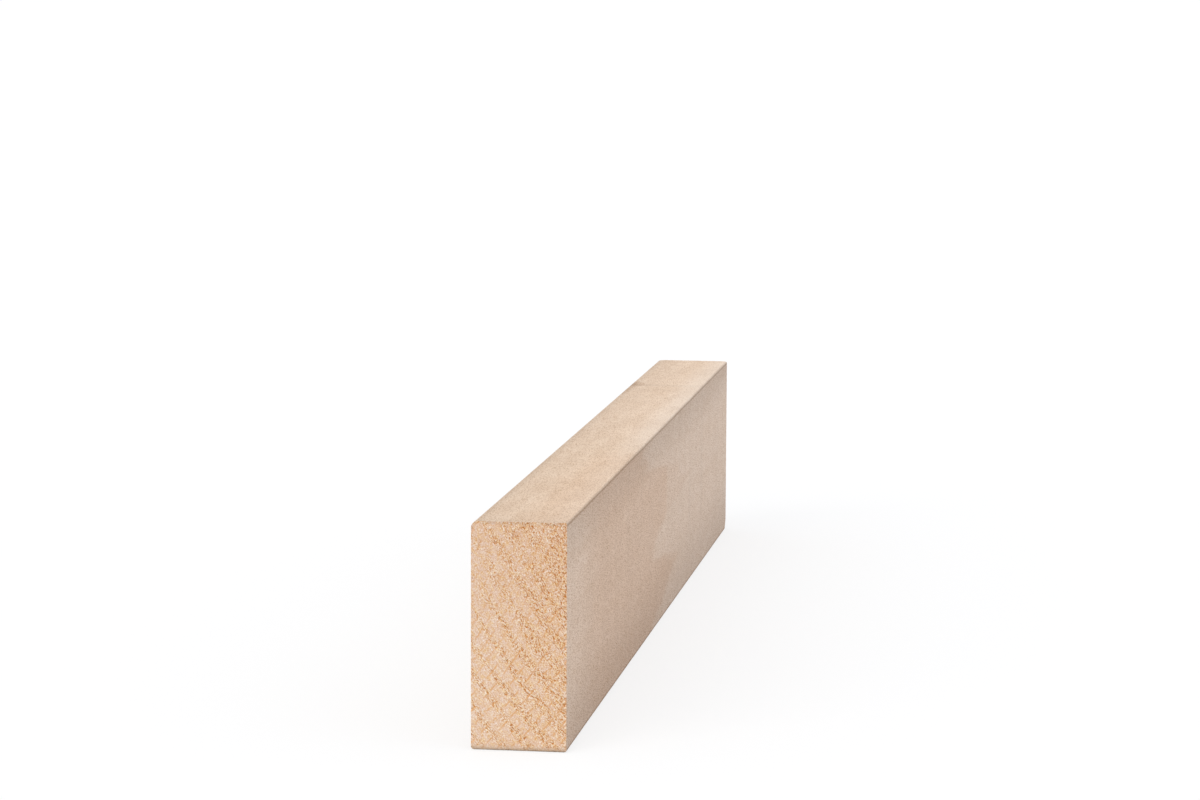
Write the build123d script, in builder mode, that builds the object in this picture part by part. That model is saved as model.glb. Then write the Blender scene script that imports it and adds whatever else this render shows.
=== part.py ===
from build123d import *
import os

# A planed rectangular timber moulding: one piece of solid wood.
# It stands on a narrow edge, as it rests on a bench. X runs across its thickness, Y along the grain
# and Z up its broad faces. The origin is the middle of the edge that it rests on.

# Driving dimensions, in millimetres
thickness = 20.0  # between the two broad planed faces
width = 48.0  # between the two narrow planed edges
length = 300.0  # between the two sawn ends
edge_radius = 1.0  # planed round along each of the four long edges
worn_arris_radius = 0.8  # lower arris of the near end, where the saw came out and handling rubbed it

with BuildPart() as moulding:
    # The planed section, the same along the whole length
    with BuildSketch(Plane.XZ) as section:
        with Locations((0, width / 2)):
            RectangleRounded(thickness, width, edge_radius)
    extrude(amount=length / 2, both=True)

    # The lower arris of the near end is worn round across the full thickness
    near_end = -length / 2
    with BuildSketch(Plane.YZ) as worn_corner:
        with Locations((near_end, 0)):
            Rectangle(worn_arris_radius, worn_arris_radius, align=(Align.MIN, Align.MIN))
        with Locations((near_end + worn_arris_radius, worn_arris_radius)):
            Circle(worn_arris_radius, mode=Mode.SUBTRACT)
    extrude(amount=thickness / 2, both=True, mode=Mode.SUBTRACT)

moulding.part.label = "moulding"

os.makedirs("parts", exist_ok=True)
export_step(moulding.part, "parts/moulding.step")

box = moulding.part.bounding_box()
print("moulding", box.size, "volume", round(moulding.part.volume, 1), "faces", len(moulding.part.faces()))
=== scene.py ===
# %% [markdown]
# # A planed timber moulding
# The object is one short length of bare, pale timber with a plain rectangular section. A planing machine
# left its four long faces smooth and its long edges slightly round. A circular saw then cut it to length,
# which left the two ends rough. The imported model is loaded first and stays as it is: it gives the size and
# the place of everything below.

# %% Load the fixed frame
import math

import bmesh
import bpy
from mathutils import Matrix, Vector


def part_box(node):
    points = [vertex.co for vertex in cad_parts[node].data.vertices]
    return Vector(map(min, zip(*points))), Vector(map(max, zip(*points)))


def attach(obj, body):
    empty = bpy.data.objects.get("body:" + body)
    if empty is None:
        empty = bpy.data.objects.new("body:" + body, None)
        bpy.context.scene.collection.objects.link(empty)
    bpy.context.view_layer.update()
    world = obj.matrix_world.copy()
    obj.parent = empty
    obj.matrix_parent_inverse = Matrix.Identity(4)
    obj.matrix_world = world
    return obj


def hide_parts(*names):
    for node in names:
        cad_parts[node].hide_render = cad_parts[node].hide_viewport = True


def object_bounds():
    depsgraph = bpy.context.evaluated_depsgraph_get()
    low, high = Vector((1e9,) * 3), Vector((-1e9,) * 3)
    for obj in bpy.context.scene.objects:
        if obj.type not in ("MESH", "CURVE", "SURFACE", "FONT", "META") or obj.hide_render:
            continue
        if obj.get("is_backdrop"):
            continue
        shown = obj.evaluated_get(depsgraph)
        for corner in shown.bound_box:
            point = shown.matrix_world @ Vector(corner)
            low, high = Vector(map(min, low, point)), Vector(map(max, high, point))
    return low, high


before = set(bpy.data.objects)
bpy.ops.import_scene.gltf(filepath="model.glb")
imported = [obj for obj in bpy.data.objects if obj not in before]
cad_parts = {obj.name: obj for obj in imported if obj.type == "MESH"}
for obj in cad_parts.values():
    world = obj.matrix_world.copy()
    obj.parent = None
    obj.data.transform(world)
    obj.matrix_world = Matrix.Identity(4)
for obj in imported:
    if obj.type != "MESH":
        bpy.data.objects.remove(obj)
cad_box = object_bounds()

mm = 0.001  # metres in a millimetre
low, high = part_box("moulding")
thickness, length, width = high - low
middle_height = low.z + width / 2
print("moulding", [round(side / mm, 1) for side in (thickness, length, width)], "mm")

# %% [markdown]
# ## The camera
# The picture looks along the strip from a little above and to its right, through a long lens, so the near
# end is large and the length shrinks away to the upper right. The place and the three turns were worked
# out from the strip's edges, as a surveyor would. The picture isn't shifted, so plain Euler angles do.

# %% Camera
camera_place = Vector((124.26, -899.08, 167.38)) * mm
camera_tilt = 82.940  # degrees up from looking straight down
camera_roll = -0.259
camera_heading = 8.201  # degrees to the left of the strip's length
camera_lens = 112.28
sensor_width = 36.0

turns = [math.radians(turn) for turn in (camera_tilt, camera_roll, camera_heading)]
bpy.ops.object.camera_add(location=camera_place, rotation=turns)
camera = bpy.context.object
camera.data.lens = camera_lens
camera.data.sensor_width = sensor_width
camera.data.sensor_fit = "HORIZONTAL"
bpy.context.scene.camera = camera
print("camera", round((camera_place - Vector((0, low.y, middle_height))).length / mm), "mm from the near end")

# %% [markdown]
# ## The blank
# The blank is the strip before any wear. A cube with bevelled edges would have the right outline, but the
# rough ends need thousands of small faces to carry their relief. So it starts as a fine flat net, the size
# of the section, which stands upright at the near end.

# %% A net for the section
net_pitch = 0.16 * mm
upright = (math.radians(90), 0, 0)  # a new net lies flat
cells_across = round(thickness / net_pitch)
cells_up = round(width / net_pitch)

bpy.ops.object.select_all(action="DESELECT")
bpy.ops.mesh.primitive_grid_add(
    x_subdivisions=cells_across,
    y_subdivisions=cells_up,
    size=1,
    location=(0, low.y, middle_height),
    rotation=upright,
)
strip = bpy.context.object
strip.name = "moulding_strip"
strip.scale = (thickness, width, 1)
bpy.ops.object.transform_apply(location=True, rotation=True, scale=True)
print("section net", len(strip.data.polygons), "faces")

# %% [markdown]
# ## Rounded long edges
# The planer eased the long edges by about a millimetre. Since then the left ones have worn rounder, and the
# right ones are still crisp. Bevelling would cut across the net, so the small square of net in each corner
# is pushed into a quarter circle instead: the further a point is out along one side, the more it is drawn
# in along the other.

# %% Round the four corners of the net
left, right, lower, upper = -1, 1, -1, 1
edge_radii = {
    (left, lower): 0.8 * mm,
    (left, upper): 1.4 * mm,
    (right, lower): 0.6 * mm,
    (right, upper): 0.5 * mm,
}

for vertex in strip.data.vertices:
    side = math.copysign(1, vertex.co.x)
    level = math.copysign(1, vertex.co.z - middle_height)
    radius = edge_radii[side, level]
    core_x = thickness / 2 - radius
    core_z = width / 2 - radius
    out_x = (abs(vertex.co.x) - core_x) / radius
    out_z = (abs(vertex.co.z - middle_height) - core_z) / radius
    if out_x > 0 and out_z > 0:
        vertex.co.x = side * (core_x + radius * out_x * math.sqrt(1 - out_z**2 / 2))
        vertex.co.z = middle_height + level * (core_z + radius * out_z * math.sqrt(1 - out_x**2 / 2))
print("long edges rounded to", [round(radius / mm, 1) for radius in edge_radii.values()], "mm")

# %% [markdown]
# ## Length
# Extruding the net along the grain makes the far end and the long faces in one go. The long faces come out
# as thin ribbons from end to end, so their edges are subdivided, as a set of loop cuts would do by hand.
# The length has a face count of its own, because the planed faces are plain and need few.

# %% Extrude to length and cut across
slices = 20

bpy.ops.object.mode_set(mode="EDIT")
bpy.ops.mesh.select_all(action="SELECT")
bpy.ops.mesh.extrude_region_move(TRANSFORM_OT_translate={"value": (0, length, 0)})
bpy.ops.mesh.select_all(action="SELECT")
bpy.ops.mesh.normals_make_consistent(inside=False)
bpy.ops.mesh.select_all(action="DESELECT")
bpy.ops.mesh.select_mode(type="EDGE")
net = bmesh.from_edit_mesh(strip.data)
for edge in net.edges:
    edge.select = abs(edge.verts[0].co.y - edge.verts[1].co.y) > length / 2
bmesh.update_edit_mesh(strip.data)
bpy.ops.mesh.subdivide(number_cuts=slices - 1)
bpy.ops.object.mode_set(mode="OBJECT")
triangles = sum(len(face.vertices) - 2 for face in strip.data.polygons)
print("blank", len(strip.data.polygons), "faces,", triangles, "triangles")

# %% [markdown]
# ## Which faces are sawn
# The ends and the long faces were made by different machines and look different, so they get a material
# each. A face belongs to an end if it looks along the grain. This is settled now, while the ends are
# still flat.

# %% Sort the faces
planed_slot, sawn_slot = 0, 1


def looks_along_grain(normal):
    return abs(normal.y) > max(abs(normal.x), abs(normal.z))


for face in strip.data.polygons:
    face.material_index = sawn_slot if looks_along_grain(face.normal) else planed_slot
sawn_faces = sum(face.material_index == sawn_slot for face in strip.data.polygons)
print("sawn faces", sawn_faces, "planed faces", len(strip.data.polygons) - sawn_faces)

# %% [markdown]
# ## A flat map
# A painted texture needs a flat map of the surface. The four long faces lie in strips beside each other,
# and the two ends lie below them at more than three times the scale, because end grain is much finer.

# %% Lay the faces out flat
map_side = 312 * mm  # the stretch of surface that the map's width holds
map_gap = 4 * mm
end_scale = 3.6

strip_widths = {"top": thickness, "right": width, "bottom": thickness, "left": width}
strip_widths["near"] = strip_widths["far"] = thickness * end_scale
map_rows = {}
next_row = map_gap
for face_name, strip_width in strip_widths.items():
    map_rows[face_name] = next_row
    next_row += strip_width + map_gap


def map_place(point, normal):
    """Where a point of the surface lies on the flat map, from 0 to 1 both ways."""
    across = point.x - low.x
    up = point.z - low.z
    along = point.y - low.y
    if looks_along_grain(normal):
        row = map_rows["near" if normal.y < 0 else "far"]
        u, v = map_gap + up * end_scale, row + across * end_scale
    elif abs(normal.z) > abs(normal.x):
        u, v = map_gap + along, map_rows["top" if normal.z > 0 else "bottom"] + across
    else:
        u, v = map_gap + along, map_rows["right" if normal.x > 0 else "left"] + up
    return u / map_side, v / map_side


for old_map in list(strip.data.uv_layers):
    strip.data.uv_layers.remove(old_map)
flat_map_name = "OFBake"
flat_map = strip.data.uv_layers.new(name=flat_map_name)
for face in strip.data.polygons:
    for corner in face.loop_indices:
        point = strip.data.vertices[strip.data.loops[corner].vertex_index].co
        flat_map.uv[corner].vector = map_place(point, face.normal)
print("map rows used", round(next_row / map_side, 2))

# %% [markdown]
# ## Drawing with nodes in two places
# The marks on the ends are wanted twice: once to dent the mesh and once to colour it, and both have to
# agree. Geometry nodes and shader nodes share their maths and texture nodes. So the helpers below add a
# node to whichever tree they are given, and one recipe serves both.

# %% Helpers that add one node each
def feed(tree, socket, value):
    """Links a socket to another node's output, or sets its value."""
    if isinstance(value, bpy.types.NodeSocket):
        tree.links.new(value, socket)
    else:
        socket.default_value = value


def add_node(tree, kind, settings, inputs):
    node = tree.nodes.new(kind)
    for name, value in settings.items():
        setattr(node, name, value)
    for name, value in inputs.items():
        feed(tree, node.inputs[name], value)
    return node


def maths(tree, operation, *values):
    return add_node(tree, "ShaderNodeMath", {"operation": operation}, dict(enumerate(values))).outputs[0]


def ramp_up(tree, value, start, end, bottom=0.0, top=1.0):
    """Rises smoothly from bottom to top while value goes from start to end."""
    names = {"Value": value, "From Min": start, "From Max": end, "To Min": bottom, "To Max": top}
    return add_node(tree, "ShaderNodeMapRange", {"interpolation_type": "SMOOTHSTEP"}, names).outputs[0]


def vector(tree, x, y, z):
    return add_node(tree, "ShaderNodeCombineXYZ", {}, {0: x, 1: y, 2: z}).outputs[0]


print("node helpers ready")

# %% [markdown]
# ## Small sums for the recipes
# Wood is drawn in millimetres, from distances, waves and noise. The noise is centred on 0, so that it adds
# as much as it takes away.

# %% Helpers for distances, waves and noise
noise_middle = 0.5  # of Blender's noise, which runs from 0 to 1


def weighted_sum(tree, start, *terms):
    """start, plus each socket times its weight."""
    total = start
    for socket, weight in terms:
        total = maths(tree, "MULTIPLY_ADD", socket, weight, total)
    return total


def noise(tree, place, detail=1.0):
    """Smooth noise about one unit wide, from -0.5 to 0.5."""
    names = {"Vector": place, "Scale": 1.0, "Detail": detail}
    cloud = add_node(tree, "ShaderNodeTexNoise", {"noise_dimensions": "3D"}, names).outputs[0]
    return maths(tree, "SUBTRACT", cloud, noise_middle)


def patches(tree, a, a_size, b, b_size, seed, detail=1.0):
    """Noise over two directions a and b, with patches of these sizes in millimetres."""
    place = vector(tree, maths(tree, "DIVIDE", a, a_size), maths(tree, "DIVIDE", b, b_size), seed)
    return noise(tree, place, detail)


def split_in_mm(tree, place):
    """x, y and z of a place, in millimetres."""
    scaled = add_node(tree, "ShaderNodeVectorMath", {"operation": "SCALE"}, {0: place, "Scale": 1 / mm})
    return add_node(tree, "ShaderNodeSeparateXYZ", {}, {0: scaled.outputs[0]}).outputs


def distance_in_section(tree, x, z, centre):
    """Distance across the section from a centre given as (x, z), in millimetres."""
    ends = {0: vector(tree, x, 0.0, z), 1: (centre[0], 0.0, centre[1])}
    return add_node(tree, "ShaderNodeVectorMath", {"operation": "DISTANCE"}, ends).outputs["Value"]


def swing(tree, phase):
    """A wave that is 1 at whole numbers and 0 halfway between."""
    turn = maths(tree, "COSINE", maths(tree, "MULTIPLY", phase, 2 * math.pi))
    return maths(tree, "MULTIPLY_ADD", turn, 0.5, 0.5)


print("recipe helpers ready")

# %% [markdown]
# ## Growth rings
# Each year the tree laid a pale soft layer and a thin darker hard one round its pith. The pith was well
# outside this strip, up and to the left, so the rings cross the section as gentle arcs. They are circles
# about the pith, drawn as a distance cut into equal steps, with a little noise so that no two are alike.

# %% Growth rings
pith = (-81.0, 75.0)  # millimetres across and up from the middle of the resting edge
ring_spacing = 2.27
outer_ring = 113.5
ring_wander = 0.6
ring_wander_size = 6.25
half_ring = 0.5
line_core = 0.2  # the share of a line's width that is fully dark


def ring_count(tree, x, z):
    """Rings counted outwards: whole numbers are the thin dark lines."""
    wander = patches(tree, x, ring_wander_size, z, ring_wander_size, seed=3.0)
    radius = weighted_sum(tree, distance_in_section(tree, x, z, pith), (wander, ring_wander))
    return maths(tree, "DIVIDE", maths(tree, "SUBTRACT", radius, outer_ring), ring_spacing)


def ring_line(tree, rings, line_width):
    """1 on a ring's dark line and 0 between the lines. line_width is in millimetres."""
    off_line = maths(tree, "PINGPONG", rings, half_ring)
    edge = line_width / ring_spacing
    return ramp_up(tree, off_line, start=edge, end=edge * line_core)


corners = (-thickness / 2 / mm, width / mm), (thickness / 2 / mm, 0.0)
ring_span = math.dist(pith, corners[1]) - math.dist(pith, corners[0])
print("rings across the section", round(ring_span / ring_spacing))

# %% [markdown]
# ## Saw marks
# The blade was large and its centre was above the strip, to the right, so its teeth swept the end in long
# arcs. Each sweep left a band of torn fibres and then a smoother band. On the far end the blade came in
# from the other side, so there the pattern is mirrored.

# %% Saw marks
blade_centre = (150.0, 129.0)
sweep_spacing = 3.8
first_sweep = 169.3
sweep_wander = 1.0
sweep_wander_width, sweep_wander_length = 5.0, 10.0
blade_reach = 185.0  # from the blade's centre to the middle of the end


def sweep_frame(tree, x, y, z):
    """Distance across the sweeps and along them, in millimetres."""
    mirrored = maths(tree, "MULTIPLY", x, maths(tree, "MULTIPLY", maths(tree, "SIGN", y), -1.0))
    across = distance_in_section(tree, mirrored, z, blade_centre)
    rise = maths(tree, "SUBTRACT", z, blade_centre[1])
    run = maths(tree, "SUBTRACT", blade_centre[0], mirrored)
    return across, maths(tree, "MULTIPLY", maths(tree, "ARCTAN2", rise, run), blade_reach)


def sweep_count(tree, across, along):
    """Sweeps counted away from the blade's centre: whole numbers are the torn bands."""
    wander = patches(tree, across, sweep_wander_width, along, sweep_wander_length, seed=7.0)
    moved = weighted_sum(tree, across, (wander, sweep_wander))
    return maths(tree, "DIVIDE", maths(tree, "SUBTRACT", moved, first_sweep), sweep_spacing)


corners = (-thickness / 2 / mm, 0.0), (thickness / 2 / mm, width / mm)
sweep_span = math.dist(blade_centre, corners[0]) - math.dist(blade_centre, corners[1])
print("sweeps across the end", round(sweep_span / sweep_spacing))

# %% [markdown]
# ## Torn fibres
# Where the teeth tore, short bundles of fibre broke out and left dark slots, and their neighbours stand
# up as pale specks. Both are drawn by noise that is stretched along the sweep. The tearing is worst in the
# torn bands, next to a ring's hard line and towards the right-hand side, where the blade came out. The
# lower half was cut more evenly, so there the bands and the rings make a clear lattice.

# %% How torn each place of an end is
even_height = 16.0  # millimetres up, below which the cut is even
ragged_height = 38.0
ragged_lattice = 0.5  # how much of the lattice is left in the ragged part
band_sharpness = 1.8  # above 1, a torn band is narrower than the smooth one
band_pull, ring_pull, streak_pull, patch_pull = 1.0, 0.15, 1.5, 0.5
streak_width, streak_length, patch_size = 1.2, 8.0, 1.1
rightward_pull = 0.042  # for each millimetre
even_pull = -0.5
torn_start, torn_end = -0.45, 0.4
band_lag, ring_lag = 0.06, -0.06  # the tearing lies a little beside the middle of a band and of a line


def tearing(tree, x, z, across, along, rings, sweeps):
    """The torn bands and the torn share of each place, from 0 to 1, and how even the cut is."""
    even = ramp_up(tree, z, start=ragged_height, end=even_height, bottom=ragged_lattice)
    band = maths(tree, "POWER", swing(tree, maths(tree, "ADD", sweeps, band_lag)), band_sharpness)
    band = maths(tree, "MULTIPLY", band, even)
    beside_ring = maths(tree, "MULTIPLY", swing(tree, maths(tree, "ADD", rings, ring_lag)), even)
    share = weighted_sum(
        tree,
        maths(tree, "MULTIPLY", x, rightward_pull),
        (band, band_pull),
        (beside_ring, ring_pull),
        (patches(tree, across, streak_width, along, streak_length, seed=11.0), streak_pull),
        (patches(tree, x, patch_size, z, patch_size, seed=13.0), patch_pull),
        (even, even_pull),
    )
    return even, band, ramp_up(tree, share, start=torn_start, end=torn_end)


print("tearing recipe ready")

# %% [markdown]
# ## The marks of one end
# The last part of the recipe draws the single marks: broken ring lines, slots, specks, the fine scratches
# of the teeth and the grit of cut fibre ends, which is coarser where the wood is torn. Resin and warmth
# change only the hue. All of them are strokes of noise, thin across the sweep and long along it.

# %% The marks of one sawn end
ring_line_width = 0.27
line_gap_size = 1.8
gap_end, whole_start = -0.16, 0.14  # of the noise that breaks the ring lines up
strokes = {  # millimetres across the sweep and along it, and a seed
    "slot": (0.28, 0.9, 31.0),
    "speck": (0.26, 0.85, 41.0),
    "scratch": (0.42, 3.2, 51.0),
    "grit": (0.2, 0.36, 61.0),
    "hue": (0.5, 1.0, 71.0),
    "streak": (0.7, 3.6, 91.0),
    "warmth": (1.5, 2.5, 101.0),
}
slot_start, slot_end = 0.03, 0.17  # of the noise
speck_start, speck_end = 0.04, 0.18


def sawn_marks(tree, place):
    """The marks on an end as sockets. The plain strokes swing about 0, the others go from 0 to 1."""
    x, y, z = split_in_mm(tree, place)
    rings = ring_count(tree, x, z)
    across, along = sweep_frame(tree, x, y, z)
    sweeps = sweep_count(tree, across, along)
    even, band, torn = tearing(tree, x, z, across, along, rings, sweeps)

    whole = patches(tree, x, line_gap_size, z, line_gap_size, seed=21.0)
    unbroken = ramp_up(tree, whole, start=gap_end, end=whole_start)
    line = maths(tree, "MULTIPLY", ring_line(tree, rings, ring_line_width), unbroken)
    drawn = {}
    for name, (stroke_width, stroke_length, seed) in strokes.items():
        drawn[name] = patches(tree, across, stroke_width, along, stroke_length, seed)
    slot = ramp_up(tree, drawn["slot"], slot_start, slot_end)
    speck = ramp_up(tree, drawn["speck"], speck_start, speck_end)
    return {
        "ring": maths(tree, "MULTIPLY", line, even),
        "torn": torn,
        "band": band,
        "slot": maths(tree, "MULTIPLY", slot, torn),
        "speck": maths(tree, "MULTIPLY", speck, torn),
        "scratch": drawn["scratch"],
        "grit": drawn["grit"],
        "torn_grit": maths(tree, "MULTIPLY", drawn["grit"], torn),
        "torn_streak": maths(tree, "MULTIPLY", drawn["streak"], torn),
        "hue": drawn["hue"],
        "warmth": drawn["warmth"],
        "height": z,
        "rightward": x,
    }


print("sawn end recipe ready")

# %% [markdown]
# ## Relief on the ends
# The marks become real dents, so that light and outline show them from any side. Their depths are small:
# a torn slot is about as deep as a sheet of card is thick.

# %% How deep each mark goes
slot_depth = 0.16  # millimetres, like the depths below
speck_height = 0.1
band_depth = 0.05
grit_depth = 0.12


def mark_depth(tree, place):
    """How deep the saw's marks are, in millimetres."""
    marks = sawn_marks(tree, place)
    return weighted_sum(
        tree,
        speck_height + grit_depth / 2,
        (marks["slot"], slot_depth),
        (marks["speck"], -speck_height),
        (marks["band"], band_depth),
        (marks["grit"], grit_depth),
    )


print("deepest slot", round(slot_depth + band_depth, 2), "mm")

# %% [markdown]
# ## Broken arrises
# Fibres have broken out in small nicks along the upper and side arrises of the ends. Chipping each one out
# of the mesh by hand would be slow. Here they are patches of noise that fade away from the arris, and a
# depth like the marks, so that both can be added up.

# %% Broken fibres along the arrises
breakout_depth = 0.45
breakout_reach = 0.8
breakout_size = 0.9
nick_start, nick_end = 0.02, 0.25  # of the noise


def breakout(tree, x, z):
    """How deep the fibres have broken out beside the upper and side arrises, in millimetres."""
    to_side = maths(tree, "SUBTRACT", thickness / 2 / mm, maths(tree, "ABSOLUTE", x))
    to_top = maths(tree, "SUBTRACT", width / mm, z)
    near_arris = ramp_up(tree, maths(tree, "MINIMUM", to_side, to_top), start=breakout_reach, end=0.0)
    nick = patches(tree, x, breakout_size, z, breakout_size, seed=81.0)
    nick = ramp_up(tree, nick, start=nick_start, end=nick_end, top=breakout_depth)
    return maths(tree, "MULTIPLY", near_arris, nick)


print("breakouts reach", breakout_reach, "mm in from an arris")

# %% [markdown]
# ## Worn arris and knocked corner
# The lower arris of the near end is worn round, and one lower corner of the far end has been knocked off.
# A boolean could cut both away, but it would break up the net. As depths they only push its points in.

# %% Worn arris and knocked corner
worn_arris_radius = 0.8
knocked_corner = (thickness / 2 / mm, 0.0)  # across and up, on the far end
knock_size, knock_depth = 3.2, 2.2


def arris_wear(tree, x, y, z):
    """How far the worn arris and the knocked corner lie in, in millimetres."""
    # The near end's lower arris is a quarter circle
    below = maths(tree, "MAXIMUM", maths(tree, "SUBTRACT", worn_arris_radius, z), 0.0)
    inside = maths(tree, "SUBTRACT", worn_arris_radius**2, maths(tree, "MULTIPLY", below, below))
    worn = maths(tree, "SUBTRACT", worn_arris_radius, maths(tree, "SQRT", inside))
    is_near = maths(tree, "LESS_THAN", y, 0.0)
    worn = maths(tree, "MULTIPLY", worn, is_near)

    # The far end's corner is deepest at its tip
    from_tip = distance_in_section(tree, x, z, knocked_corner)
    knocked = ramp_up(tree, from_tip, start=knock_size, end=0.0, top=knock_depth)
    is_far = maths(tree, "GREATER_THAN", y, 0.0)
    return maths(tree, "MULTIPLY_ADD", knocked, is_far, worn)


def end_depth(tree, place):
    """How far a point of an end lies inside the flat sawn plane, in millimetres."""
    x, y, z = split_in_mm(tree, place)
    nicked = maths(tree, "ADD", mark_depth(tree, place), breakout(tree, x, z))
    return maths(tree, "ADD", nicked, arris_wear(tree, x, y, z))


print("worn arris", worn_arris_radius, "mm, knocked corner", knock_depth, "mm")

# %% [markdown]
# ## Denting the mesh
# A geometry-nodes modifier pushes each point of an end inwards by the recipe's depth and is then applied,
# so the dents are in the mesh. A displace modifier would need a texture that the shader can't share.

# %% Dent the sawn ends
end_tolerance = 0.01  # millimetres from the sawn plane within which a point belongs to the end

dents = bpy.data.node_groups.new("dent_sawn_ends", "GeometryNodeTree")
dents.interface.new_socket("Geometry", in_out="INPUT", socket_type="NodeSocketGeometry")
dents.interface.new_socket("Geometry", in_out="OUTPUT", socket_type="NodeSocketGeometry")
blank_in = dents.nodes.new("NodeGroupInput")
dented_out = dents.nodes.new("NodeGroupOutput")
position = dents.nodes.new("GeometryNodeInputPosition").outputs[0]
along_grain = split_in_mm(dents, position)[1]
from_middle = maths(dents, "ABSOLUTE", along_grain)
on_end = maths(dents, "GREATER_THAN", from_middle, length / 2 / mm - end_tolerance)
inwards = maths(dents, "MULTIPLY", maths(dents, "SIGN", along_grain), -mm)
push = vector(dents, 0.0, maths(dents, "MULTIPLY", end_depth(dents, position), inwards), 0.0)
move = add_node(dents, "GeometryNodeSetPosition", {}, {"Selection": on_end, "Offset": push})
dents.links.new(blank_in.outputs[0], move.inputs["Geometry"])
dents.links.new(move.outputs["Geometry"], dented_out.inputs[0])

modifier = strip.modifiers.new("dent_sawn_ends", "NODES")
modifier.node_group = dents
bpy.ops.object.modifier_apply(modifier=modifier.name)
end_depths = [(v.co.y - low.y) / mm for v in strip.data.vertices if v.co.y < low.y + length / slices / 2]
print("near end lies", round(min(end_depths), 2), "to", round(max(end_depths), 2), "mm in")

# %% [markdown]
# ## Colours
# Colours are written as they look on a screen, from 0 to 255, and turned into the linear values that
# shaders work with. A tint is different: it is a share of the light, and multiplies what is under it.

# %% Colour and material helpers
wood_specular = 0.25


def from_screen(red, green, blue):
    """A linear colour from screen values, by a screen's usual curve."""
    parts = [value / 255 for value in (red, green, blue)]
    linear = [part / 12.92 if part <= 0.04045 else ((part + 0.055) / 1.055) ** 2.4 for part in parts]
    return (*linear, 1.0)


def blend_colours(tree, share, first, second, way="MIX"):
    settings = {"data_type": "RGBA", "blend_type": way, "clamp_factor": True}
    node = add_node(tree, "ShaderNodeMix", settings, {0: share, 6: first, 7: second})
    return node.outputs[2]


def tint_with(tree, colour, share, tint):
    """Multiplies a colour by a tint, as far as share goes from 0 to 1."""
    return blend_colours(tree, share, colour, (*tint, 1.0), "MULTIPLY")


def new_material(name):
    material = bpy.data.materials.new(name)
    material.use_nodes = True
    shader = material.node_tree.nodes["Principled BSDF"]
    shader.inputs["Specular IOR Level"].default_value = wood_specular
    place = material.node_tree.nodes.new("ShaderNodeTexCoord").outputs["Object"]
    return material, material.node_tree, shader, place


def add_bump(tree, shader, height, depth):
    """Bump for relief that is finer than the mesh. depth is in millimetres for a height of 1."""
    bump = add_node(tree, "ShaderNodeBump", {}, {"Height": height, "Distance": depth * mm})
    feed(tree, shader.inputs["Normal"], bump.outputs[0])


print("colour helpers ready")

# %% [markdown]
# ## End-grain finish: one scale of colours
# End grain is more orange than the planed faces. The recipe's marks lighten and darken one scale of
# colours, from the brown of a deep slot to the near white of a raised fibre. A scale keeps every shade
# between a few chosen colours, which adding up separate colours wouldn't.

# %% Sawn end material
slot_brown = from_screen(201, 138, 82)
torn_orange = from_screen(214, 168, 128)
end_tan = from_screen(228, 199, 178)
fibre_pale = from_screen(246, 233, 222)
scale_places = {0.3: torn_orange, 0.65: end_tan}
tone_start = 0.67
tone_pulls = {
    "torn": -0.02,
    "slot": -0.7,
    "speck": 0.62,
    "scratch": 0.45,
    "grit": 1.4,
    "torn_grit": 1.7,
    "torn_streak": 0.3,
}

sawn_end, tree, shader, place = new_material("sawn_end_grain")
marks = sawn_marks(tree, place)
tone = weighted_sum(tree, tone_start, *((marks[mark], pull) for mark, pull in tone_pulls.items()))
scale = tree.nodes.new("ShaderNodeValToRGB").color_ramp
scale.elements[0].color = slot_brown
scale.elements[1].color = fibre_pale
for scale_place, shade in scale_places.items():
    scale.elements.new(scale_place).color = shade
scale_node = tree.nodes["Color Ramp"]
feed(tree, scale_node.inputs[0], tone)
print("sawn end scale has", len(scale.elements), "colours")

# %% [markdown]
# ## End-grain finish: tints and painted shade
# Torn wood is a little more orange. Resin gives single specks a yellow cast, and some patches are warmer
# than others. The rings' hard lines are laid over in orange. The end is darker towards the top and the
# right. The worn lower arris is painted grey as shade, where it turns down to the floor, and a thin darker
# line runs along the upper arris.

# %% Sawn end tints
ring_orange = from_screen(220, 164, 108)
ring_strength = 0.75
torn_tint = (0.985, 0.955, 0.89)
resin_tint = (1.0, 0.93, 0.72)
warm_tint = (1.0, 0.965, 0.88)
upper_tint = (0.945, 0.91, 0.89)
right_tint = (0.985, 0.955, 0.925)
arris_tint = (0.9, 0.9, 0.9)
resin_range, warm_range = (-0.1, 0.25), (-0.15, 0.2)  # of the noise: where a tint starts and is full
upper_range, right_range, arris_range = (5.0, 48.0), (-10.0, 10.0), (47.2, 47.7)  # in millimetres
# painted shade: grey on the worn lower arris, where it turns down to the floor
lower_arris_shade_grey = from_screen(206, 181, 157)
lower_arris_shade_range = (1.7, 0.2)
lower_arris_shade_share = 0.75

height = marks["height"]
ring_share = maths(tree, "MULTIPLY", marks["ring"], ring_strength)
lower_arris_shade = ramp_up(tree, height, *lower_arris_shade_range, top=lower_arris_shade_share)
colour = tint_with(tree, scale_node.outputs[0], marks["torn"], torn_tint)
colour = tint_with(tree, colour, ramp_up(tree, marks["hue"], *resin_range), resin_tint)
colour = tint_with(tree, colour, ramp_up(tree, marks["warmth"], *warm_range), warm_tint)
colour = blend_colours(tree, ring_share, colour, ring_orange)
colour = tint_with(tree, colour, ramp_up(tree, height, *upper_range), upper_tint)
colour = tint_with(tree, colour, ramp_up(tree, marks["rightward"], *right_range), right_tint)
colour = tint_with(tree, colour, ramp_up(tree, height, *arris_range), arris_tint)
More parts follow.
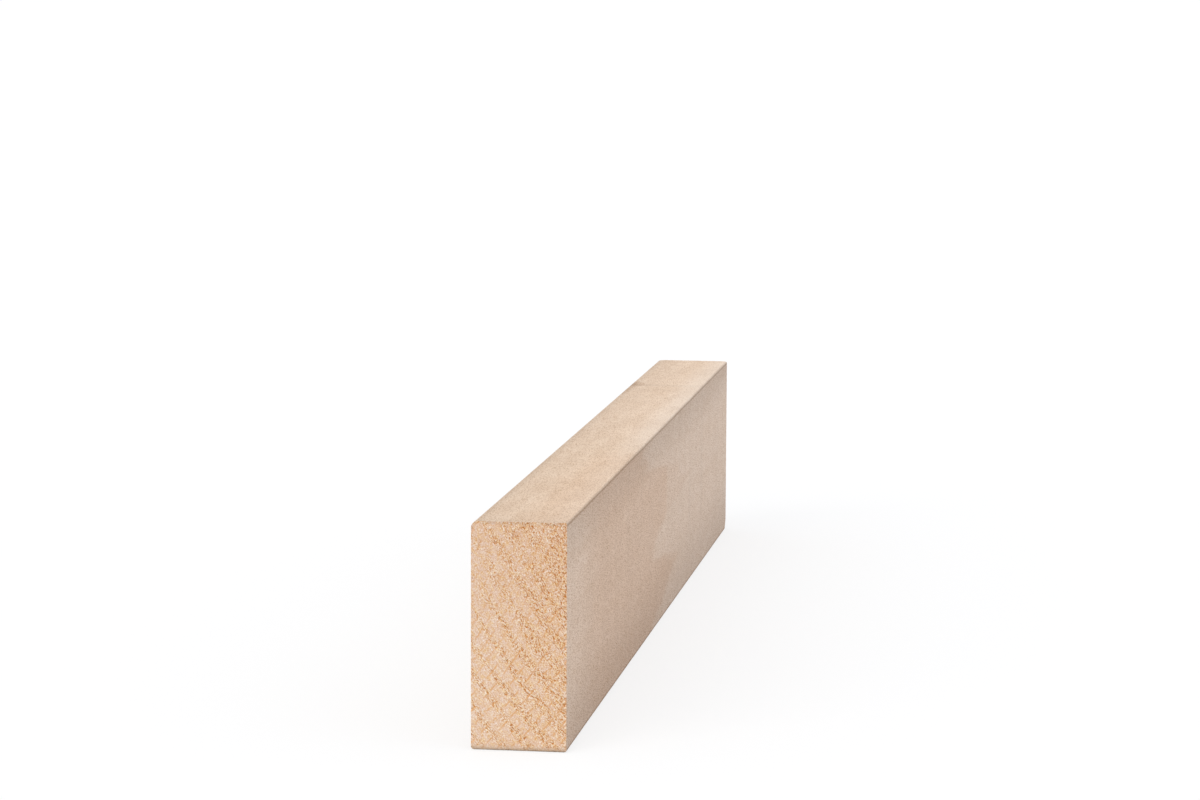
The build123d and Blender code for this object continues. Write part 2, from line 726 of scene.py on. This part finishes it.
# painted shade on the worn lower arris
colour = blend_colours(tree, lower_arris_shade, colour, lower_arris_shade_grey)
feed(tree, shader.inputs["Base Color"], colour)
print("sawn end is tinted over", round(upper_range[1] - upper_range[0]), "mm of its height")

# %% [markdown]
# ## End-grain finish: roughness
# A sawn end is dull, and torn fibres are duller still. The scratches and the grit are finer than the mesh,
# so they go into a bump, which only tilts the light.

# %% Sawn end roughness and bump
sawn_roughness, torn_roughness = 0.82, 0.96
scratch_depth = 0.04

roughness = ramp_up(tree, marks["torn"], start=0.0, end=1.0, bottom=sawn_roughness, top=torn_roughness)
feed(tree, shader.inputs["Roughness"], roughness)
add_bump(tree, shader, maths(tree, "ADD", marks["scratch"], marks["grit"]), scratch_depth)
print("sawn end material has", len(tree.nodes), "nodes")

# %% [markdown]
# ## Planed finish: pale wood
# The planed faces are smooth and nearly plain, and everything on them runs along the grain. So the first
# helper draws noise that is thin across the strip and long along it.

# %% Planed wood and its helper for grain
pale_wood = from_screen(246, 225, 206)
half_thickness = thickness / 2 / mm
full_width = width / mm

planed, tree, shader, place = new_material("planed_wood")
x, y, z = split_in_mm(tree, place)


def along_the_grain(thin, long, seed, detail=1.0):
    """Noise that is thin across the grain and long along it, in millimetres."""
    stretched = vector(
        tree,
        maths(tree, "DIVIDE", x, thin),
        maths(tree, "MULTIPLY_ADD", y, 1 / long, seed),
        maths(tree, "DIVIDE", z, thin),
    )
    return noise(tree, stretched, detail)


print("planed wood starts from", [round(part, 2) for part in pale_wood[:3]])

# %% [markdown]
# ## Planed finish: the stain's front
# A warm stain has soaked in from the near end, and its front runs out in fingers along the grain. The
# front is a place along the strip that changes with the height: a wave makes the fingers, steps make the
# upper ones longer and the top's shorter, and noise makes the border ragged.

# %% The stain's front
stain_reach = 12.0  # millimetres past the middle of the strip
finger_length = 44.0
finger_spacing = 20.5
finger_height = 9.5  # of the lowest finger
upper_height, upper_blend = 25.0, 3.0  # above this height the fingers go further
upper_reach = 16.0
shoulder_height = 36.0
shoulder_shortfall = 60.0  # the stain stops short towards the upper edge, on the top and on the left
top_shortfall = 28.0
left_shortfall = 80.0
left_start = 2.0
top_range = (46.8, 47.8)  # the heights between which a side turns into the top
front_wander = 60.0
front_ragged = 24.0
front_range = (8.0, -12.0)  # millimetres past the front over which the stain sets in

on_top = ramp_up(tree, z, *top_range)
on_upper = ramp_up(tree, z, start=upper_height - upper_blend, end=upper_height + upper_blend)
finger = swing(tree, maths(tree, "DIVIDE", maths(tree, "SUBTRACT", z, finger_height), finger_spacing))
front = weighted_sum(
    tree,
    stain_reach - finger_length / 2,
    (finger, finger_length),
    (on_upper, upper_reach),
    (ramp_up(tree, z, start=shoulder_height, end=full_width), -shoulder_shortfall),
    (on_top, -top_shortfall),
    (ramp_up(tree, x, start=left_start, end=-half_thickness), -left_shortfall),
    (along_the_grain(thin=6.0, long=150.0, seed=5.0, detail=2.0), front_wander),
)
ragged = along_the_grain(thin=1.5, long=12.0, seed=45.0, detail=2.0)
past_front = maths(tree, "SUBTRACT", weighted_sum(tree, y, (ragged, front_ragged)), front)
stain = ramp_up(tree, past_front, *front_range)
print("stain reaches", stain_reach, "mm past the middle")

# %% [markdown]
# ## Planed finish: what is left of the stain
# Something straight lay across the upper half of the strip and kept most of the stain off beyond it. The
# stain has also worn off the sides near the end, and off the left of the top. It is a tint that multiplies
# the wood's colour, so that the grain shows through it.

# %% What is left of the stain
stain_tint = (0.935, 0.87, 0.815)
cover_place, cover_border = 14.0, 1.0  # where the straight thing lay, and its soft border
cover_share = 0.65
fresh_range = (-145.0, -95.0)
fresh_share = 0.25  # of the stain is left on the sides at the near end
top_share_range = (-3.0, 5.0)
top_left_share, top_right_share = 0.08, 0.6

cover_range = (cover_place - cover_border, cover_place + cover_border)
past_cover = ramp_up(tree, y, *cover_range, top=cover_share)
covered = maths(tree, "MULTIPLY", past_cover, on_upper)
stain = maths(tree, "MULTIPLY", stain, maths(tree, "SUBTRACT", 1.0, covered))
side_share = ramp_up(tree, y, *fresh_range, bottom=fresh_share)
top_share = ramp_up(tree, x, *top_share_range, bottom=top_left_share, top=top_right_share)
more_on_top = maths(tree, "SUBTRACT", top_share, side_share)
kept_share = maths(tree, "MULTIPLY_ADD", on_top, more_on_top, side_share)
stain = maths(tree, "MULTIPLY", stain, kept_share)
colour = tint_with(tree, pale_wood, stain, stain_tint)
print("the cover kept off", cover_share, "of the stain")

# %% [markdown]
# ## Planed finish: the grain
# Streaks of many sizes run along the length: single fibres, fine dark pores, small flecks and broad bands,
# and soft clouds on the top. Each is a brown tint whose strength is a stretched noise, because darker wood
# is also browner. The planer's knives left faint ripples across the strip, and the rings' hard lines come
# to the surface as pale brown lines. Wear has polished the top, so its fine grain is fainter.

# %% Planed wood's grain
fibre_tint = (0.62, 0.5, 0.38)
pore_tint = (0.82, 0.77, 0.72)
fleck_tint = (0.965, 0.945, 0.92)
band_tint = (0.925, 0.89, 0.85)
cloud_tint = (0.94, 0.918, 0.895)
ripple_tint = (0.965, 0.96, 0.955)
ring_tint = (0.992, 0.987, 0.98)
ring_band = 0.8  # millimetres wide at the surface
polished_share = 0.76  # of the fine grain still shows on the top, which wear has polished

grain = {  # the noise, where its tint starts and is full, the tint, and its shares on the sides and the top
    "fibres": (along_the_grain(thin=0.17, long=1.2, seed=25.0), -0.08, 0.25, fibre_tint, 1.0, polished_share),
    "pores": (along_the_grain(thin=0.3, long=1.6, seed=75.0), 0.18, 0.28, pore_tint, 1.0, polished_share),
    "flecks": (along_the_grain(thin=1.8, long=6.0, seed=65.0, detail=2.0), -0.25, 0.25, fleck_tint, 1.0, 1.0),
    "bands": (along_the_grain(thin=6.0, long=55.0, seed=15.0, detail=2.0), -0.8, 0.8, band_tint, 1.0, 1.0),
    "clouds": (along_the_grain(thin=4.0, long=22.0, seed=85.0), -0.15, 0.15, cloud_tint, 0.0, 1.0),
    "ripples": (along_the_grain(thin=40.0, long=5.0, seed=35.0), -0.25, 0.25, ripple_tint, 1.0, 1.0),
}
strengths = {}
for name, (streaks, start, end, tint, side_part, top_part) in grain.items():
    shown = ramp_up(tree, on_top, start=0.0, end=1.0, bottom=side_part, top=top_part)
    strengths[name] = maths(tree, "MULTIPLY", ramp_up(tree, streaks, start, end), shown)
    colour = tint_with(tree, colour, strengths[name], tint)
colour = tint_with(tree, colour, ring_line(tree, ring_count(tree, x, z), ring_band), ring_tint)
print("grain has", list(grain))

# %% [markdown]
# ## Planed finish: painted shade lines and the top
# A thin dark line of painted shade lies where each rounded edge meets the broad face. The top is tinted
# yellow, most at the near end; the fade towards the far end is painted light, cooler and greyer there. Use
# has scuffed the top pale towards the right. Each has a share from 0 to 1, worked out from the place on the
# strip, so no picture has to be painted.

# %% Planed wood's grime and top
# painted shade: a thin dark line where each rounded edge meets the broad face
shade_line_tint = (0.71, 0.63, 0.55)
shade_line_depth = 0.55  # from the edge's top or bottom to the line of painted shade
shade_line_range = (0.4, 0.05)  # away from the middle of the line
side_range = (0.45, 0.0)  # in from the broad face, over the rounded edge
scuff_pale = from_screen(246, 235, 223)
scuff_range, scuff_share = (2.0, 9.0), 0.25
scuff_fade, near_scuff_share = (-60.0, 0.0), 0.4  # along the strip
# the top's yellow tint; its fade towards the far end is painted light, cooler and greyer there
yellow_and_light_tint = (0.955, 0.925, 0.86)
yellow_and_light_range, far_yellow_and_light_share = (20.0, -70.0), 0.8

from_side = maths(tree, "SUBTRACT", half_thickness, maths(tree, "ABSOLUTE", x))
from_edge = maths(tree, "MINIMUM", z, maths(tree, "SUBTRACT", full_width, z))
on_side = ramp_up(tree, from_side, *side_range)
off_shade_line = maths(tree, "ABSOLUTE", maths(tree, "SUBTRACT", from_edge, shade_line_depth))
painted_line_shade = maths(tree, "MULTIPLY", on_side, ramp_up(tree, off_shade_line, *shade_line_range))
scuffed = maths(tree, "MULTIPLY", on_top, ramp_up(tree, x, *scuff_range, top=scuff_share))
scuffed = maths(tree, "MULTIPLY", scuffed, ramp_up(tree, y, *scuff_fade, bottom=near_scuff_share))
# partly painted light: the top is yellower towards the near end
yellow_and_light = maths(tree, "MULTIPLY", on_top, ramp_up(tree, y, *yellow_and_light_range, bottom=far_yellow_and_light_share))
colour = tint_with(tree, colour, yellow_and_light, yellow_and_light_tint)
colour = blend_colours(tree, scuffed, colour, scuff_pale)
# painted shade along the rounded edges
colour = tint_with(tree, colour, painted_line_shade, shade_line_tint)
print("grime lies", shade_line_depth, "mm from the edges")

# %% [markdown]
# ## Planed finish: painted shade and darker edges
# The broad faces are darker towards their upper edges, and painted shade darkens them towards their lower
# edges, where the floor sends less light up. The top is darker towards the left and at the near end, with
# painted shade on its rounded left edge, which turns away from the light. Each is the same tint, which
# grows along one direction of one face.

# %% Planed wood's rubbed edges
# partly painted shade: this tint darkens the lower broad faces and the top's left edge as shade
shade_and_darkening_tint = (0.8, 0.79, 0.78)
shade_and_darkening = {  # the face, the direction, where the darkening starts and is full, and how strong it is there
    "upper": (on_side, z, 35.0, 48.0, 0.85),
    # painted shade: the broad faces darker near the floor, which sends less light up
    "lower": (on_side, z, 20.0, 0.0, 0.85),
    "left": (on_top, x, 4.0, -9.0, 0.36),
    # painted shade on the top's rounded left edge, which turns away from the light
    "left_edge_shade": (on_top, x, -6.5, -9.6, 0.7),
    "near_end": (on_top, y, -143.0, -149.5, 0.35),
}

for face, direction, start, end, strength in shade_and_darkening.values():
    share = maths(tree, "MULTIPLY", face, ramp_up(tree, direction, start, end, top=strength))
    colour = tint_with(tree, colour, share, shade_and_darkening_tint)
print("rubbed along", list(shade_and_darkening))

# %% [markdown]
# ## Planed finish: single marks
# Feed rollers left two faint bands across the strip. There are two small brown bruises on the upper left
# edge, and a faint streak runs over the top beside them. A bruise is an egg-shaped tint: the distance from
# its middle is measured in lengths of the bruise, so that one ramp gives its soft border.

# %% Planed wood's single marks
bruise_tint = (0.74, 0.66, 0.57)
bruise_range = (1.0, 0.1)  # in lengths of the bruise
roller_range = (4.5, 0.5)  # millimetres away from the middle of a band
roller_fade = 9.0  # millimetres over which a band ends, up and down
rollers = {  # place, top, bottom and strength
    "long": (89.0, 50.0, 10.0, 0.2),
    "short": (63.0, 24.0, 6.0, 0.17),
}
bruises = {  # place, half length, reach over the edge and strength
    "wide": (91.0, 9.0, 5.5, 1.0),
    "long": (76.0, 13.0, 3.0, 1.0),
    "streak": (90.0, 4.5, 13.0, 0.3),
}

for roller_place, band_top, band_bottom, strength in rollers.values():
    off_roller = maths(tree, "ABSOLUTE", maths(tree, "SUBTRACT", y, roller_place))
    pressed = ramp_up(tree, off_roller, *roller_range, top=strength)
    above = ramp_up(tree, z, start=band_bottom, end=band_bottom + roller_fade)
    under = ramp_up(tree, z, start=band_top + roller_fade, end=band_top)
    pressed = maths(tree, "MULTIPLY", pressed, maths(tree, "MULTIPLY", above, under))
    colour = tint_with(tree, colour, pressed, shade_and_darkening_tint)
for bruise_place, half_length, reach, strength in bruises.values():
    along = maths(tree, "DIVIDE", maths(tree, "SUBTRACT", y, bruise_place), half_length)
    over = maths(tree, "DIVIDE", maths(tree, "ADD", x, half_thickness), reach)
    down = maths(tree, "DIVIDE", maths(tree, "SUBTRACT", full_width, z), reach)
    away = {0: vector(tree, along, over, down)}
    away = add_node(tree, "ShaderNodeVectorMath", {"operation": "LENGTH"}, away).outputs["Value"]
    bruised = ramp_up(tree, away, *bruise_range, top=strength)
    colour = tint_with(tree, colour, bruised, bruise_tint)
feed(tree, shader.inputs["Base Color"], colour)
print("roller bands", len(rollers), "bruises", len(bruises))

# %% [markdown]
# ## Planed finish: roughness
# Planed wood has a low sheen, broken by its fibres: they are duller than the wood between them and lie a
# hair's breadth lower. Both come from the noise that colours the fibres. The strip then gets its two
# materials, in the order in which its faces were sorted.

# %% Planed wood's roughness and bump
smooth_roughness, fibre_roughness = 0.55, 0.75
fibre_depth = 0.012

fibres = strengths["fibres"]
roughness = ramp_up(tree, fibres, start=0.0, end=1.0, bottom=smooth_roughness, top=fibre_roughness)
feed(tree, shader.inputs["Roughness"], roughness)
add_bump(tree, shader, fibres, -fibre_depth)

strip.data.materials.append(planed)
strip.data.materials.append(sawn_end)
print("planed material has", len(tree.nodes), "nodes")

# %% [markdown]
# ## A torn splinter
# A few pale slivers still cling to the near end, mostly below the upper arris. They are bundles of fine
# threads, and pale because they have stayed clean. So their material is a stroke of noise along the sweep
# that sets the colour, the roughness and a bump.

# %% Splinter material
splinter_pale = from_screen(252, 240, 226)
splinter_tan = from_screen(240, 216, 189)
thread_width, thread_length = 0.1, 0.7
thread_range = (-0.2, 0.2)  # of the noise

torn_fibre, tree, shader, place = new_material("torn_fibre")
across, along = sweep_frame(tree, *split_in_mm(tree, place))
threads = patches(tree, across, thread_width, along, thread_length, seed=111.0)
threads = ramp_up(tree, threads, *thread_range)
feed(tree, shader.inputs["Base Color"], blend_colours(tree, threads, splinter_tan, splinter_pale))
roughness = ramp_up(tree, threads, start=0.0, end=1.0, bottom=torn_roughness, top=sawn_roughness)
feed(tree, shader.inputs["Roughness"], roughness)
add_bump(tree, shader, threads, scratch_depth)
print("splinter material has", len(tree.nodes), "nodes")

# %% [markdown]
# ## A splinter's shape
# One splinter is modelled first, as a pattern for all of them: a short six-sided rod, cut into rings so
# that it can bend.

# %% A splinter's rod
splinter_length = 1.0 * mm
splinter_width = 0.3 * mm
splinter_sides = 6
splinter_rings = 4

bpy.ops.object.select_all(action="DESELECT")
bpy.ops.mesh.primitive_cylinder_add(
    vertices=splinter_sides,
    radius=splinter_width / 2,
    depth=splinter_length,
)
splinter = bpy.context.object
splinter.data.materials.append(torn_fibre)
splinter.data.uv_layers[0].name = flat_map_name
bpy.ops.object.mode_set(mode="EDIT")
bpy.ops.mesh.select_all(action="DESELECT")
bpy.ops.mesh.select_mode(type="EDGE")
net = bmesh.from_edit_mesh(splinter.data)
for edge in net.edges:
    edge.select = abs(edge.verts[0].co.z - edge.verts[1].co.z) > splinter_length / 2
bmesh.update_edit_mesh(splinter.data)
bpy.ops.mesh.subdivide(number_cuts=splinter_rings)
print("rod cut", splinter_rings, "times")

# %% [markdown]
# ## A splinter's tip
# A torn fibre is flat and ends in a bent point. The end of the rod is drawn together and moved aside with
# proportional editing, so that the rings below follow it softly, and then the rod is pressed flat.
# Sculpting would do it too, but not the same way each time.

# %% Draw out and bend its tip
tip_width = 0.2  # as a share of the rod's width
tip_bend = 0.16 * mm
splinter_flatness = 0.6
soft = {
    "use_proportional_edit": True,
    "proportional_edit_falloff": "SMOOTH",
    "proportional_size": splinter_length,
}

bpy.ops.mesh.select_mode(type="VERT")
bpy.ops.mesh.select_all(action="DESELECT")
net = bmesh.from_edit_mesh(splinter.data)
tip_height = max(vertex.co.z for vertex in net.verts)
for vertex in net.verts:
    vertex.select = vertex.co.z > tip_height - splinter_length / splinter_rings / 2
bmesh.update_edit_mesh(splinter.data)
bpy.ops.transform.resize(value=(tip_width, tip_width, 1), **soft)
bpy.ops.transform.translate(value=(tip_bend, 0, 0), **soft)
bpy.ops.mesh.select_all(action="SELECT")
bpy.ops.transform.resize(value=(1, splinter_flatness, 1))
bpy.ops.object.mode_set(mode="OBJECT")
print("splinter", len(splinter.data.polygons), "faces")

# %% [markdown]
# ## Splinters on the end
# Copies of the splinter are stretched to their lengths and laid along the blade's sweep, half sunk into the
# wood. Each gets a small square of its own on the flat map.

# %% Lay the splinters on the near end
splinter_sink = 0.12 * mm
splinters = (  # across, up and length in millimetres
    (-3.4, 46.9, 1.7),
    (3.8, 45.9, 1.3),
    (5.7, 44.7, 1.5),
    (8.8, 47.1, 0.9),
    (-5.8, 37.2, 0.8),
    (2.8, 43.4, 0.9),
    (6.0, 29.9, 1.1),
    (-7.6, 8.2, 0.9),
    (0.5, 10.9, 0.8),
)
map_patch = 0.02  # the side of each splinter's place on the flat map
map_step = 0.03
free_map_place = 0.62

copies = []
for number, (across, up, splinter_reach) in enumerate(splinters):
    bpy.ops.object.select_all(action="DESELECT")
    splinter.select_set(True)
    bpy.context.view_layer.objects.active = splinter
    bpy.ops.object.duplicate()
    copy = bpy.context.object
    copy.location = (across * mm, low.y + splinter_sink, up * mm)
    copy.rotation_euler.y = math.atan2(up - blade_centre[1], blade_centre[0] - across)
    copy.scale.z = splinter_reach * mm / splinter_length
    bpy.ops.object.transform_apply(location=True, rotation=True, scale=True)
    patch_start = free_map_place + map_step * number
    for corner in copy.data.uv_layers[0].uv:
        u, v = corner.vector
        corner.vector = (patch_start + map_patch * u, free_map_place + map_patch * v)
    copies.append(copy)
print("splinters laid", len(copies))

# %% [markdown]
# ## One piece
# The splinters are still part of the wood, so they are joined to the strip and the object stays one piece.
# The pattern splinter has done its work and goes.

# %% Join the splinters to the strip
bpy.ops.object.select_all(action="DESELECT")
splinter.select_set(True)
bpy.ops.object.delete()
for piece in copies + [strip]:
    piece.select_set(True)
bpy.context.view_layer.objects.active = strip
bpy.ops.object.join()
triangles = sum(len(face.vertices) - 2 for face in strip.data.polygons)
print("strip with splinters", triangles, "triangles")

# %% [markdown]
# ## Shading and the frame
# The rounded edges are shaded smooth and the square arrises stay crisp. The strip then takes the place of
# the imported solid and rides on its one body.

# %% Hand the strip over
crisp_angle = 40.0

bpy.ops.object.select_all(action="DESELECT")
strip.select_set(True)
bpy.context.view_layer.objects.active = strip
bpy.ops.object.shade_smooth_by_angle(angle=math.radians(crisp_angle))
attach(strip, "root")
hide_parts("moulding")
print("strip", len(strip.data.vertices), "points")

# %% [markdown]
# ## Floor
# The strip stands on a plain white floor that reaches past the picture. To the eye it is nearly pure white
# and keeps a faint shadow. To the light it is a duller white, so that it doesn't flood the strip from
# below.

# %% Floor
floor_size = 60.0
floor_shadow = 0.28  # the share of the true shadow that shows
floor_bounce = 0.6
white = (1.0, 1.0, 1.0, 1.0)

bpy.ops.mesh.primitive_plane_add(size=floor_size)
floor = bpy.context.object
floor.name = "floor"
floor_white = bpy.data.materials.new("floor_white")
floor_white.use_nodes = True
tree = floor_white.node_tree
tree.nodes.remove(tree.nodes["Principled BSDF"])
dull_white = (floor_bounce, floor_bounce, floor_bounce, 1.0)
bounced = add_node(tree, "ShaderNodeBsdfDiffuse", {}, {"Color": dull_white}).outputs[0]
shown = add_node(tree, "ShaderNodeBsdfDiffuse", {}, {"Color": white}).outputs[0]
glow = add_node(tree, "ShaderNodeEmission", {}, {"Color": white, "Strength": 1.0}).outputs[0]
pale_shadow = add_node(tree, "ShaderNodeMixShader", {}, {0: floor_shadow, 1: glow, 2: shown}).outputs[0]
to_camera = tree.nodes.new("ShaderNodeLightPath").outputs["Is Camera Ray"]
seen = add_node(tree, "ShaderNodeMixShader", {}, {0: to_camera, 1: bounced, 2: pale_shadow}).outputs[0]
feed(tree, tree.nodes["Material Output"].inputs["Surface"], seen)
floor.data.materials.append(floor_white)
floor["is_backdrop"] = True
print("floor", floor_size, "m across")

# %% [markdown]
# ## Light tent
# Most of the light is soft and comes from all round, as in a light tent. The tent is the world's colour,
# a little cool. The eye, and what the wood reflects, sees plain white in its place.

# %% Light tent
tent_strength = 0.84
tent_tint = (0.985, 1.0, 1.03, 1.0)

world = bpy.data.worlds.new("light_tent")
bpy.context.scene.world = world
world.use_nodes = True
tree = world.node_tree
tent = tree.nodes["Background"]
tent.inputs["Color"].default_value = tent_tint
tent.inputs["Strength"].default_value = tent_strength
backdrop = add_node(tree, "ShaderNodeBackground", {}, {"Color": white, "Strength": 1.0}).outputs[0]
rays = tree.nodes.new("ShaderNodeLightPath").outputs
seen = maths(tree, "MAXIMUM", rays["Is Camera Ray"], rays["Is Glossy Ray"])
seen = maths(tree, "MAXIMUM", seen, rays["Is Transmission Ray"])
sky = add_node(tree, "ShaderNodeMixShader", {}, {0: seen, 1: tent.outputs[0], 2: backdrop}).outputs[0]
feed(tree, tree.nodes["World Output"].inputs["Surface"], sky)
print("tent", tent_strength)

# %% [markdown]
# ## Key and fill
# A gentle key shines from above, in front and a little to the left, so the top and the near end are bright
# and the right-hand face is in half shade. A weak, cool fill from the right opens that shade. Both are sun
# lamps with a wide angle, because a wide source gives a soft shadow.

# %% Key and fill lights
key_strength = 1.1
key_tint = (1.0, 0.96, 0.9)
key_from = Vector((-0.45, -0.85, 0.5))
key_softness = 45.0  # degrees across
fill_strength = 0.44
fill_tint = (0.92, 1.0, 1.23)
fill_from = Vector((1.0, -0.15, 0.2))
fill_softness = 90.0

for name, strength, tint, source, softness in (
    ("key_light", key_strength, key_tint, key_from, key_softness),
    ("fill_light", fill_strength, fill_tint, fill_from, fill_softness),
):
    bpy.ops.object.light_add(type="SUN", rotation=source.to_track_quat("Z", "Y").to_euler())
    lamp = bpy.context.object
    lamp.name = name
    lamp.data.energy = strength
    lamp.data.color = tint
    lamp.data.angle = math.radians(softness)
bpy.context.scene.view_settings.view_transform = "Standard"
print("key", key_strength, "fill", fill_strength)

# %% [markdown]
# ## Size
# The finished strip has to be the size of the imported solid. Both boxes are printed side by side.

# %% Compare sizes
visual_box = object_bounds()
boxes = {"cad": [list(corner) for corner in cad_box], "visual": [list(corner) for corner in visual_box]}
for box_name, box in boxes.items():
    print(box_name, "box", [round(value / mm, 2) for corner in box for value in corner])
